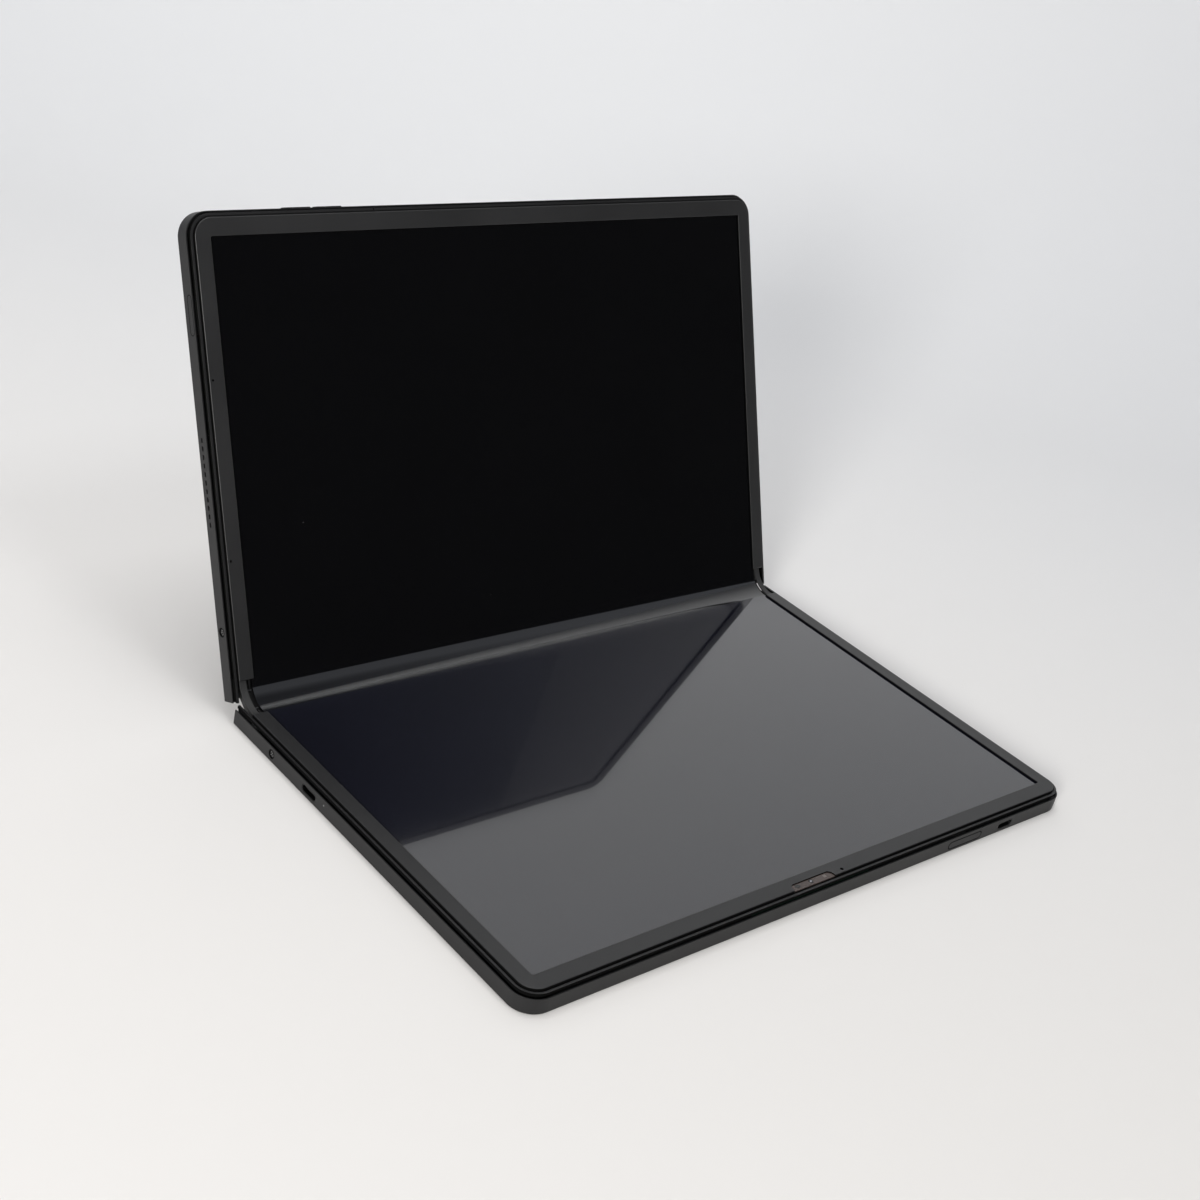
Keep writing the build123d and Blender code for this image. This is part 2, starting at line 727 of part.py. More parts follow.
# Charge light
with BuildPart() as charge_light:
    light_face = side_face(base, base_left).offset(-0.05)
    extrude(disc(light_face, base_left * led_u, led_level, led_radius - 0.03), amount=-led_length)
write(charge_light, "charge_light")

# Camera strip
with BuildPart() as camera_window:
    extrude(camera_notch(camera_level, window_gap, -window_gap), amount=window_thickness)
write(camera_window, "camera_window")

camera_low = camera_level - lens_height - camera_size[2] - 0.05
with BuildPart() as camera_module:
    add(block(base, -camera_x, camera_u, camera_low, camera_size))
    barrel = disc(base.offset(camera_low + camera_size[2]), -camera_x, camera_u, lens_radius)
    extrude(barrel, amount=lens_height)
write(camera_module, "camera_module")

with BuildPart() as camera_strip:
    strip_low = camera_low - camera_board[2]
    add(block(base, -camera_x, camera_u - 0.4, strip_low, camera_board))
write(camera_strip, "camera_board")

# Mainboard, cooling and storage in the base
with BuildPart() as mainboard:
    board_z = board_top - mainboard_thickness
    add(block(base, 0, mainboard_u, board_z, (2 * mainboard_half, mainboard_depth, mainboard_thickness)))
    for chip_x, chip_u, chip_length, chip_width in chips:
        chip = (chip_length, chip_width, chip_height)
        add(block(base, chip_x, mainboard_u + chip_u, board_z - chip_height, chip))
write(mainboard, "mainboard")

with BuildPart() as ssd:
    ssd_x = -mainboard_half + ssd_from_edge
    add(block(base, ssd_x, mainboard_u + ssd_offset, board_z - ssd_size[2], ssd_size))
write(ssd, "storage_card")

with BuildPart() as heat_spreader:
    spreader_x = ssd_x + (ssd_size[0] + spreader_size[0]) / 2 + spreader_gap
    spreader_z = board_z - chip_height - spreader_size[2]
    add(block(base, spreader_x, mainboard_u + spreader_offset, spreader_z, spreader_size))
    fillet(heat_spreader.edges().filter_by(Axis.Z), radius=spreader_rounding)
write(heat_spreader, "heat_spreader")


# Batteries
def battery(half, side_gap, near, far):
    """Two flat pouch cells side by side under the middle plate, taped together."""
    low = board_top - battery_thickness
    middle = (near + far) / 2
    cell = (half_width - side_gap - cell_gap / 2, far - near, battery_thickness)
    with BuildPart() as pack:
        for side in (-1, 1):
            add(block(half, side * (cell[0] + cell_gap) / 2, middle, low, cell))
        edges = pack.edges().filter_by(Axis(half.origin, half.z_dir))
        fillet(edges, radius=battery_rounding)
        tape = (joint_strip_size[0], far - near - 2 * joint_strip_short, joint_strip_size[1])
        add(block(half, 0, middle, low, tape))
    return pack


base_battery_near = mainboard_start + mainboard_depth + base_battery_gap
base_battery_end = half_depth - base_battery_far
write(battery(base, base_battery_side, base_battery_near, base_battery_end), "base_battery")
lid_battery_end = half_depth - lid_battery_far
write(battery(lid, lid_battery_side, lid_battery_start, lid_battery_end), "lid_battery")

# Speakers behind the slots in the lid
slot_middle = slot_first_u + (slot_count - 1) * slot_pitch / 2
for name, side in (("left", lid_left), ("right", -lid_left)):
    with BuildPart() as speaker:
        speaker_x = side * (half_width - flange_reach - 0.1 - speaker_size[0] / 2)
        low = cover_thickness + cover_clearance
        add(block(lid, speaker_x, slot_middle, low, speaker_size))
        edges = speaker.edges().filter_by(Axis(lid.origin, lid.z_dir))
        fillet(edges, radius=speaker_rounding)
        duct = (flange_reach - wall, slot_count * slot_pitch, 2.4)
        duct_x = side * (half_width - wall - 0.1 - duct[0] / 2)
        add(block(lid, duct_x, slot_middle, cover_thickness + flange_thickness + 0.1, duct))
    write(speaker, f"speaker_{name}")

# Card tray and its reader
with BuildPart() as sim_tray:
    extrude(pill(sim_face, lid_left * sim_u, sim_level, sim_length, sim_height), amount=-wall)
    plate_x = lid_left * (half_width - wall - sim_plate[0] / 2)
    add(block(lid, plate_x, sim_u, sim_level - sim_plate[2] / 2, sim_plate))
    card = (sim_plate[0] - 5, sim_plate[1] - 3, sim_plate[2])
    add(block(lid, plate_x, sim_u, sim_level, card), mode=Mode.SUBTRACT)
write(sim_tray, "sim_tray")

with BuildPart() as sim_reader:
    reader_depth = sim_plate[0] + 1
    reader_start = wall + skirt_gap + skirt_thickness + 0.1
    reader_x = lid_left * (half_width - reader_start - reader_depth / 2)
    reader_height = sim_plate[2] + 2 * (sim_gap + reader_wall)
    reader_low = sim_level - reader_height / 2
    reader = (reader_depth, sim_plate[1] + 2 * (sim_gap + reader_wall), reader_height)
    add(block(lid, reader_x, sim_u, reader_low, reader))
    slot_space = (reader_depth, sim_plate[1] + 2 * sim_gap, sim_plate[2] + 2 * sim_gap)
    mouth_x = reader_x + lid_left * reader_wall
    add(block(lid, mouth_x, sim_u, reader_low + reader_wall, slot_space), mode=Mode.SUBTRACT)
write(sim_reader, "sim_reader")

# Volume buttons and their switches
for name, i in (("up", -0.5), ("down", 0.5)):
    with BuildPart() as volume_button:
        place = volume_x + i * volume_spacing
        cap = pill(top.offset(volume_proud), -place, volume_level, volume_length, volume_height)
        extrude(cap, amount=-volume_proud - wall)
    write(volume_button, f"volume_{name}_button")

with BuildPart() as volume_switches:
    switch_front = half_depth - wall - button_travel - 0.1
    board_depth = 1.0
    board_high = plate_low - skirt_depth - 0.2
    board_size = (2 * volume_spacing, board_depth, board_high - cover_thickness - flange_thickness - 0.1)
    board_low_z = cover_thickness + flange_thickness + 0.1
    add(block(lid, volume_x, switch_front - 1 - board_depth / 2, board_low_z, board_size))
    for i in (-0.5, 0.5):
        dome = (5.0, 1.0, 2.0)
        add(block(lid, volume_x + i * volume_spacing, switch_front - 0.5, volume_level - 1, dome))
write(volume_switches, "volume_switches")

# Radio parts in the lid
with BuildPart() as wwan_card:
    wwan_u = lid_battery_end + wwan_gap + wwan_size[1] / 2
    add(block(lid, wwan_x, wwan_u, board_top - wwan_size[2], wwan_size))
write(wwan_card, "radio_card")

with BuildPart() as antennas:
    antenna_u = half_depth - flange_reach - 2 - antenna_size[1] / 2
    for x in antenna_x:
        add(block(lid, x, antenna_u, board_top - antenna_size[2], antenna_size))
write(antennas, "antennas")

# Closing magnets
for half_name, half in (("base", base), ("lid", lid)):
    with BuildPart() as magnets:
        for x in magnet_x:
            magnet_u = half_depth - magnet_inset - magnet_size[1] / 2
            add(block(half, x, magnet_u, board_top - magnet_size[2], magnet_size))
    write(magnets, f"{half_name}_magnets")
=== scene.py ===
import json
from math import cos, pi, radians, sin, tan

import bmesh
import bpy
from mathutils import Matrix, Vector


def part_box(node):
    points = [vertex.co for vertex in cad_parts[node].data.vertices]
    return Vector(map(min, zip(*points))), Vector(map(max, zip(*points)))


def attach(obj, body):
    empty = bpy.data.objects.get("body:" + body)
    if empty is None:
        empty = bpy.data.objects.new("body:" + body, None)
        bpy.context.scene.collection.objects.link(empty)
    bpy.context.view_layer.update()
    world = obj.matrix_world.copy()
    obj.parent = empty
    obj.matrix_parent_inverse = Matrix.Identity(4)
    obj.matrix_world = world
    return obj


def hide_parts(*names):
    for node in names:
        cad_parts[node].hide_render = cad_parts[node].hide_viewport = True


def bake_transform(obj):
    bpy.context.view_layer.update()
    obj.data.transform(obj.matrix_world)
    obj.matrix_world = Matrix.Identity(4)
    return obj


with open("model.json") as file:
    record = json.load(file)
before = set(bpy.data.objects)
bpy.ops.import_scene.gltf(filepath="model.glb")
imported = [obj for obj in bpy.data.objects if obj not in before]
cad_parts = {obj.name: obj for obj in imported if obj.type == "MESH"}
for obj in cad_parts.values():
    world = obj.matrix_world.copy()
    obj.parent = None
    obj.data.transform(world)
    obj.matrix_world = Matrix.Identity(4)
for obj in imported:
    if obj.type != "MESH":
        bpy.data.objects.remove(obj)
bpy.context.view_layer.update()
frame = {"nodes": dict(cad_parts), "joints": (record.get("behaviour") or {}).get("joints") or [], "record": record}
nodes = frame["nodes"]
scene = bpy.context.scene

MM = 0.001

# Camera: place in metres, turn in degrees, lens in millimetres
CAMERA_PLACE = (-0.44784, -0.36879, 0.36179)
CAMERA_TURN = (60.999, -11.474, -39.110)
LENS = 53.863
SHIFT = (0.0333, 0.0199)

# Dust on the screen film: cells along a millimetre, each with one speck
DUST_PER_MM = 0.04

# Sizes that the visual pieces share with the frame, in millimetres
OPEN_ANGLE = 113.4  # degrees
HALF_WIDTH = 138.1
HALF_DEPTH = 172.85
AXIS_OFFSET = 0.7
AXIS_HEIGHT = 8.0
SCREEN_TOP = 7.8
BEND_RADIUS = 11.5
BEND_THICKNESS = 0.4
BEND_STEPS = 48
STRIP_TOP = 8.4
STRIP_START = 7.95
STRIP_THICKNESS = 0.6
STRIP_STEPS = 24

# Buttons, tray and side screws: places and sizes of their openings, in millimetres
BUTTON_LEVEL = 3.0
POWER_X = HALF_WIDTH - 63.1
POWER_SIZE = (19.0, 2.6)
VOLUME_X = -HALF_WIDTH + 53.6
VOLUME_SPACING = 13.3
VOLUME_SIZE = (12.0, 2.4)
TRAY_PLACE = (137.8, 4.2)  # distance from the fold, height
TRAY_SIZE = (13.6, 2.3)
SCREW_PLACE = (25.8, 3.3)
SCREW_SIZE = (2.6, 2.6)

# The film starts to turn this far before its bend, by this angle, in millimetres and radians
LEAD_IN = 9.0
LEAD_ANGLE = radians(6)
EASE = 1.15  # how slowly the reflections turn at the start of the bend

# Derived places
FOLD = radians((180 - OPEN_ANGLE) / 2)
joint = {j["name"]: j for j in frame["joints"]}
BASE_AXIS = Vector(joint["fold_base"]["pos_m"]) / MM
LID_AXIS = Vector(joint["fold_lid"]["pos_m"]) / MM
SPINE_MIDDLE = (BASE_AXIS + LID_AXIS) / 2
BASE_START = BASE_AXIS + Vector((0, AXIS_OFFSET, 0))
LID_START = LID_AXIS - Vector((0, cos(2 * FOLD), sin(2 * FOLD))) * AXIS_OFFSET
BEND_CORNER = AXIS_OFFSET - AXIS_OFFSET / cos(FOLD) - (AXIS_HEIGHT - SCREEN_TOP) * tan(FOLD)
BEND_START = BEND_RADIUS * tan(FOLD) + BEND_CORNER


def material(name):
    """A new material: its node tree and its Principled shader."""
    made = bpy.data.materials.new(name)
    made.use_nodes = True
    tree = made.node_tree
    return made, tree, tree.nodes["Principled BSDF"]


def add(tree, kind, **settings):
    """Adds a node with these properties."""
    node = tree.nodes.new(kind)
    for key, value in settings.items():
        setattr(node, key, value)
    return node


def place(tree):
    """Object coordinates in millimetres."""
    coords = add(tree, "ShaderNodeTexCoord")
    scale = add(tree, "ShaderNodeVectorMath", operation="SCALE")
    scale.inputs["Scale"].default_value = 1 / MM
    tree.links.new(coords.outputs["Object"], scale.inputs[0])
    return scale.outputs[0]


def noise(tree, vector, per_mm, detail=2.0, roughness=0.5):
    """Noise with per_mm cells along a millimetre."""
    node = add(tree, "ShaderNodeTexNoise")
    node.inputs["Scale"].default_value = per_mm
    node.inputs["Detail"].default_value = detail
    node.inputs["Roughness"].default_value = roughness
    tree.links.new(vector, node.inputs["Vector"])
    return node.outputs["Fac"]


def spread(tree, value, low, high):
    """Maps 0..1 to low..high."""
    node = add(tree, "ShaderNodeMapRange")
    node.inputs["To Min"].default_value = low
    node.inputs["To Max"].default_value = high
    tree.links.new(value, node.inputs["Value"])
    return node.outputs["Result"]


def ramp(tree, value, stops):
    """Colours between stops, each a position and a colour."""
    node = add(tree, "ShaderNodeValToRGB")
    elements = node.color_ramp.elements
    while len(elements) < len(stops):
        elements.new(0.5)
    for element, (position, colour) in zip(elements, stops):
        element.position = position
        element.color = (*colour, 1)
    tree.links.new(value, node.inputs["Fac"])
    return node.outputs["Color"]


def blended(tree, factor, first, second):
    """A colour between two: first and second are colours or sockets."""
    node = add(tree, "ShaderNodeMix", data_type="RGBA")
    tree.links.new(factor, node.inputs[0])
    for socket, colour in zip(node.inputs[6:8], (first, second)):
        if isinstance(colour, tuple):
            socket.default_value = (*colour, 1)
        else:
            tree.links.new(colour, socket)
    return node.outputs[2]


def bump(tree, shader, height, depth_mm, strength=1.0, edge_mm=0.12):
    """Relief from height, on normals that are softened along the edges."""
    node = add(tree, "ShaderNodeBump")
    if edge_mm:
        edge = add(tree, "ShaderNodeBevel", samples=6)
        edge.inputs["Radius"].default_value = edge_mm * MM
        tree.links.new(edge.outputs["Normal"], node.inputs["Normal"])
    node.inputs["Strength"].default_value = strength
    node.inputs["Distance"].default_value = depth_mm * MM
    tree.links.new(height, node.inputs["Height"])
    tree.links.new(node.outputs["Normal"], shader.inputs["Normal"])


def shade(colour, factor):
    """The colour, lighter or darker."""
    return tuple(c * factor for c in colour)


def coated(name, colour, roughness, grain, depth, specular=0.5, variation=0.12, metallic=0.0,
           up=None):
    """A matt finish: fine grain in bump, slow changes in colour and gloss.

    With up, the faces that look to the sides of it get painted shade: near-black colour, less gloss and more
    roughness.
    """
    made, tree, shader = material(name)
    point = place(tree)
    fine = noise(tree, point, grain, 3.0, 0.6)
    slow = noise(tree, point, 0.03, 3.0, 0.5)
    darker, lighter = shade(colour, 1 - variation), shade(colour, 1 + variation)
    tint = ramp(tree, slow, [(0.3, darker), (0.7, lighter)])
    rough = spread(tree, fine, roughness - 0.06, roughness + 0.06)
    # Painted shade: faces that look sideways get the near-black side colour, lower specular and more roughness, so
    # the grooves look dark.
    if up:
        facing = add(tree, "ShaderNodeVectorMath", operation="DOT_PRODUCT")
        facing.inputs[1].default_value = up
        tree.links.new(add(tree, "ShaderNodeTexCoord").outputs["Normal"], facing.inputs[0])
        size = add(tree, "ShaderNodeMath", operation="ABSOLUTE")
        tree.links.new(facing.outputs["Value"], size.inputs[0])
        flat = ramp(tree, size.outputs[0], [(0.35, (0, 0, 0)), (0.75, (1, 1, 1))])
        tint = blended(tree, flat, SIDE_SHADE, tint)
        side = add(tree, "ShaderNodeMath", operation="SUBTRACT", use_clamp=True)
        side.inputs[0].default_value = 1.0
        tree.links.new(flat, side.inputs[1])
        rougher = add(tree, "ShaderNodeMath", operation="MULTIPLY_ADD", use_clamp=True)
        rougher.inputs[1].default_value = 0.5
        tree.links.new(side.outputs[0], rougher.inputs[0])
        tree.links.new(rough, rougher.inputs[2])
        rough = rougher.outputs[0]
        tree.links.new(spread(tree, flat, 0.05, specular), shader.inputs["Specular IOR Level"])
    tree.links.new(tint, shader.inputs["Base Color"])
    tree.links.new(rough, shader.inputs["Roughness"])
    shader.inputs["Specular IOR Level"].default_value = specular
    shader.inputs["Metallic"].default_value = metallic
    bump(tree, shader, fine, depth)
    return made


def brushed(name, colour, roughness, along=(1, 0, 0)):
    """Brushed or ground metal: streaks along one direction."""
    made, tree, shader = material(name)
    point = place(tree)
    stretch = add(tree, "ShaderNodeVectorMath", operation="MULTIPLY")
    stretch.inputs[1].default_value = tuple(0.15 if a else 6.0 for a in along)
    tree.links.new(point, stretch.inputs[0])
    streak = noise(tree, stretch.outputs[0], 1.0, 4.0, 0.6)
    tint = ramp(tree, streak, [(0.25, shade(colour, 0.85)), (0.75, shade(colour, 1.1))])
    tree.links.new(tint, shader.inputs["Base Color"])
    rough = spread(tree, streak, roughness - 0.08, roughness + 0.08)
    tree.links.new(rough, shader.inputs["Roughness"])
    shader.inputs["Metallic"].default_value = 1.0
    bump(tree, shader, streak, 0.01)
    return made


def leather():
    """Fine-grained imitation leather: pebbles between creases, with slow changes of gloss."""
    made, tree, shader = material("leather")
    point = place(tree)
    warp = add(tree, "ShaderNodeTexNoise")
    warp.inputs["Scale"].default_value = 0.9
    tree.links.new(point, warp.inputs["Vector"])
    centred = add(tree, "ShaderNodeVectorMath", operation="SUBTRACT")
    centred.inputs[1].default_value = (0.5, 0.5, 0.5)
    tree.links.new(warp.outputs["Color"], centred.inputs[0])
    bent = add(tree, "ShaderNodeVectorMath", operation="MULTIPLY_ADD")
    bent.inputs[1].default_value = (0.7, 0.7, 0.7)
    tree.links.new(centred.outputs[0], bent.inputs[0])
    tree.links.new(point, bent.inputs[2])
    cells = add(tree, "ShaderNodeTexVoronoi", feature="DISTANCE_TO_EDGE")
    cells.inputs["Scale"].default_value = 1.15
    tree.links.new(bent.outputs[0], cells.inputs["Vector"])
    pebble = ramp(tree, cells.outputs["Distance"], [(0.0, (0, 0, 0)), (0.22, (1, 1, 1))])
    pores = noise(tree, point, 4.0, 2.0, 0.6)
    height = add(tree, "ShaderNodeMath", operation="MULTIPLY_ADD")
    height.inputs[1].default_value = 0.25
    tree.links.new(pores, height.inputs[0])
    tree.links.new(pebble, height.inputs[2])
    slow = noise(tree, point, 0.02, 3.0, 0.5)
    tint = ramp(tree, slow, [(0.3, (0.014, 0.014, 0.015)), (0.7, (0.02, 0.02, 0.021))])
    tree.links.new(tint, shader.inputs["Base Color"])
    tree.links.new(spread(tree, pebble, 0.62, 0.45), shader.inputs["Roughness"])
    shader.inputs["Specular IOR Level"].default_value = 0.45
    bump(tree, shader, height.outputs[0], 0.06, 0.8)
    return made


def rise(tree, point, origin, away):
    """Height in mm by which the film bends up near the fold; away points from the fold line."""
    off = add(tree, "ShaderNodeVectorMath", operation="SUBTRACT")
    off.inputs[1].default_value = origin
    tree.links.new(point, off.inputs[0])
    reach = add(tree, "ShaderNodeVectorMath", operation="DOT_PRODUCT")
    reach.inputs[1].default_value = away
    tree.links.new(off.outputs[0], reach.inputs[0])
    near = add(tree, "ShaderNodeMath", operation="SUBTRACT")
    near.inputs[0].default_value = LEAD_IN + BEND_START
    tree.links.new(reach.outputs["Value"], near.inputs[1])
    part = add(tree, "ShaderNodeMath", operation="DIVIDE", use_clamp=True)
    part.inputs[1].default_value = LEAD_IN
    tree.links.new(near.outputs[0], part.inputs[0])
    cube = add(tree, "ShaderNodeMath", operation="POWER")
    cube.inputs[1].default_value = 3.0
    tree.links.new(part.outputs[0], cube.inputs[0])
    height = add(tree, "ShaderNodeMath", operation="MULTIPLY")
    height.inputs[1].default_value = tan(LEAD_ANGLE) * LEAD_IN / 3
    tree.links.new(cube.outputs[0], height.inputs[0])
    return height.outputs[0]


def screen_film(name, haze_and_light, dust, origin=None, away=None):
    """Glossy black film with a veil of grease, on the base with painted light from above, and dust specks of the
    given brightness.
    """
    made, tree, shader = material(name)
    point = place(tree)
    slow = noise(tree, point, 0.02, 3.0, 0.55)
    film_tone = ramp(tree, slow, [(0.3, shade(haze_and_light, 0.9)), (0.7, shade(haze_and_light, 1.1))])
    cells = add(tree, "ShaderNodeTexVoronoi", feature="F1")
    cells.inputs["Scale"].default_value = DUST_PER_MM
    tree.links.new(point, cells.inputs["Vector"])
    speck = ramp(tree, cells.outputs["Distance"], [(0.006, (1, 1, 1)), (0.012, (0, 0, 0))])
    tree.links.new(blended(tree, speck, film_tone, (dust, dust, dust)), shader.inputs["Base Color"])
    tree.links.new(spread(tree, slow, 0.07, 0.11), shader.inputs["Roughness"])
    shader.inputs["IOR"].default_value = 1.5
    shader.inputs["Coat Weight"].default_value = 1.0
    shader.inputs["Coat Roughness"].default_value = 0.02
    if origin:
        bump(tree, shader, rise(tree, point, origin, away), 1.0, edge_mm=0)
    return made


def light_guide():
    """Frosted light guide: a clear core in a dark sleeve."""
    made, tree, shader = material("light_guide")
    low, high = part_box("charge_light")
    off = add(tree, "ShaderNodeVectorMath", operation="SUBTRACT")
    off.inputs[1].default_value = (low + high) / 2 / MM
    tree.links.new(place(tree), off.inputs[0])
    flat = add(tree, "ShaderNodeVectorMath", operation="MULTIPLY")
    flat.inputs[1].default_value = (0, 1, 1)
    tree.links.new(off.outputs[0], flat.inputs[0])
    reach = add(tree, "ShaderNodeVectorMath", operation="LENGTH")
    tree.links.new(flat.outputs[0], reach.inputs[0])
    core, sleeve = (0.35, 0.35, 0.36), (0.004, 0.004, 0.004)
    tint = ramp(tree, reach.outputs["Value"], [(0.22, core), (0.3, sleeve)])
    tree.links.new(tint, shader.inputs["Base Color"])
    grain = noise(tree, place(tree), 6.0, 2.0, 0.5)
    tree.links.new(spread(tree, grain, 0.3, 0.5), shader.inputs["Roughness"])
    bump(tree, shader, grain, 0.01)
    return made


def flat_colour(name, colour, roughness, metallic=0.0):
    """A coated finish of the plain kind, for small and inner parts."""
    return coated(name, colour, roughness, 3.0, 0.01, metallic=metallic)


# Materials by the record's slot, and colours that several share
BASE_UP = (0.0, 0.0, 1.0)
LID_UP = (0.0, -sin(2 * FOLD), cos(2 * FOLD))
# Near-black colour painted on the side faces of plates and borders: painted shade for their dark grooves.
SIDE_SHADE = (0.003, 0.003, 0.003)
# The base film's veil is stronger and bluer than the lid's: painted light from above, over a grease veil.
BASE_HAZE_AND_PAINTED_LIGHT = (0.0032, 0.0034, 0.0078)
LID_HAZE = (0.0016, 0.0016, 0.002)
MATERIALS = {
    "frame_metal": coated("frame_metal", (0.013, 0.013, 0.0135), 0.45, 5.0, 0.012, specular=0.28),
    "cover_leather": leather(),
    "plate_metal": coated("plate_metal", (0.009, 0.009, 0.0095), 0.38, 5.0, 0.008, specular=0.4,
                          up=BASE_UP),
    "bezel_plastic": coated("bezel_plastic", (0.011, 0.011, 0.0115), 0.38, 4.0, 0.008,
                            up=BASE_UP),
    "screen_film": screen_film("screen_film", LID_HAZE, 0.04),
    "strip_rubber": coated("strip_rubber", (0.018, 0.018, 0.018), 0.6, 4.0, 0.015),
    "hinge_steel": brushed("hinge_steel", (0.05, 0.05, 0.052), 0.4),
    "spine_metal": coated("spine_metal", (0.025, 0.025, 0.026), 0.48, 5.0, 0.01),
    "screw_steel": brushed("screw_steel", (0.2, 0.2, 0.2), 0.35, (0, 1, 0)),
    "socket_steel": brushed("socket_steel", (0.04, 0.04, 0.041), 0.4),
    "board": flat_colour("board", (0.008, 0.03, 0.016), 0.4),
    "black_plastic": flat_colour("black_plastic", (0.015, 0.015, 0.015), 0.45),
    "reader_steel": brushed("reader_steel", (0.45, 0.45, 0.46), 0.35),
    "spreader_copper": brushed("spreader_copper", (0.6, 0.3, 0.2), 0.35),
    "battery_pouch": flat_colour("battery_pouch", (0.06, 0.06, 0.065), 0.4, 0.6),
    "magnet": brushed("magnet", (0.4, 0.4, 0.41), 0.3),
    "window_glass": flat_colour("window_glass", (0.055, 0.04, 0.035), 0.12),
    "light_guide": light_guide(),
}
for subpart in frame["record"]["subparts"]:
    node = nodes[subpart["node"]]
    node.data.materials.clear()
    node.data.materials.append(MATERIALS[subpart["material_slot"]])
# Painted light: the lid's plate and border get lighter colours than the base's, though they are likely the same
# finish. They also carry the painted side shade.
nodes["lid_middle_plate"].data.materials[0] = coated(
    "plate_metal_lid_painted_lighter", (0.013, 0.013, 0.0135), 0.38, 5.0, 0.008, specular=0.5, up=LID_UP)
nodes["lid_bezel"].data.materials[0] = coated(
    "bezel_plastic_lid_painted_lighter", (0.02, 0.02, 0.0205), 0.38, 4.0, 0.008, up=LID_UP)


# Film of each half, which leads into the bend; the base's film has painted light in its veil
for name, origin, away, haze_and_light in (
    ("base", BASE_START, (0, -1, 0), BASE_HAZE_AND_PAINTED_LIGHT),
    ("lid", LID_START, (0, cos(2 * FOLD), sin(2 * FOLD)), LID_HAZE),
):
    film = screen_film(f"screen_film_{name}", haze_and_light, 0.05, origin, away)
    nodes[f"{name}_screen"].data.materials[0] = film


# Bend of the screen and the end strips
def bend_line(top, start):
    """The arc's radius, and its centre height above the fold in the spine's frame."""
    corner = -AXIS_OFFSET + AXIS_OFFSET / cos(FOLD) + (AXIS_HEIGHT - top) * tan(FOLD)
    radius = (start + corner) / tan(FOLD)
    drop = (AXIS_OFFSET * sin(FOLD) + AXIS_HEIGHT - top) / cos(FOLD)
    return radius, AXIS_HEIGHT - drop + radius / cos(FOLD)


def from_spine(x, y, z):
    """A point of the spine's frame (mm, z counted from the underside) in the row frame (m)."""
    along = Vector((0, cos(FOLD), sin(FOLD)))
    up = Vector((0, -sin(FOLD), cos(FOLD)))
    return (Vector((x, 0, 0)) + SPINE_MIDDLE + along * y + up * (z - AXIS_HEIGHT)) * MM


SPINE_DOWN = Vector((0, sin(FOLD), -cos(FOLD)))


def arc_strip(name, top, start, thickness, left, right, side, steps, slot_name, eased=False):
    """Half of a bent strip: from one half's flat part (side -1 base, 1 lid) to the middle.

    With eased, its normals turn slowly at first, as where the film leads into its bend.
    """
    radius, centre = bend_line(top, start)
    bm = bmesh.new()
    rings = []
    for i in range(steps + 1):
        angle = side * FOLD * i / steps
        ring = []
        for r in (radius, radius + thickness):
            for x in (left, right):
                y, z = r * sin(angle), centre - r * cos(angle)
                ring.append(bm.verts.new(from_spine(x, y, z)))
        rings.append(ring)
    for a, b in zip(rings, rings[1:]):
        for p, q in ((0, 1), (1, 3), (3, 2), (2, 0)):
            bm.faces.new((a[p], a[q], b[q], b[p]))
    bm.faces.new((rings[-1][0], rings[-1][1], rings[-1][3], rings[-1][2]))
    bmesh.ops.recalc_face_normals(bm, faces=bm.faces)
    mesh = bpy.data.meshes.new(name)
    bm.to_mesh(mesh)
    bm.free()
    axis = from_spine(0, 0, centre)
    normals = []
    for polygon in mesh.polygons:
        for index in polygon.loop_indices:
            if abs(polygon.normal.x) > 0.5 or polygon.index == len(mesh.polygons) - 1:
                normals.append(polygon.normal.copy())
                continue
            at = mesh.vertices[mesh.loops[index].vertex_index].co
            out = Vector((0, at.y - axis.y, at.z - axis.z)).normalized()
            if eased:
                turn = out.angle(SPINE_DOWN) / FOLD
                eased_turn = FOLD - LEAD_ANGLE - (FOLD - LEAD_ANGLE) * max(0, 1 - turn) ** EASE
                out = Matrix.Rotation(side * eased_turn, 3, "X") @ SPINE_DOWN
            normals.append(out if out.dot(polygon.normal) > 0 else -out)
    mesh.normals_split_custom_set(normals)
    piece = bpy.data.objects.new(name, mesh)
    scene.collection.objects.link(piece)
    mesh.materials.append(MATERIALS[slot_name])
    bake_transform(piece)
    return piece


screen_low, screen_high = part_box("screen_bend")
for side, end in ((-1, "base"), (1, "lid")):
    bend = arc_strip(f"screen_bend_{end}", SCREEN_TOP, BEND_START, BEND_THICKNESS,
                     screen_low.x / MM, screen_high.x / MM, side, BEND_STEPS, "screen_film",
                     eased=True)
    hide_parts("screen_bend")
    for name in ("left", "right"):
        low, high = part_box(f"end_strip_{name}")
        strip = arc_strip(f"end_strip_{name}_{end}", STRIP_TOP, STRIP_START, STRIP_THICKNESS,
                          low.x / MM, high.x / MM, side, STRIP_STEPS, "strip_rubber")
        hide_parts(f"end_strip_{name}")


# Camera strip: what shows behind the tinted window, as low forms on it, in millimetres
PAD_STEPS = 32
CAMERA_X = -8.6
INFRARED_X = -15.4
SENSOR_X = -1.55
PAD_SHIFT = 0.25  # from the window's middle, towards the fold


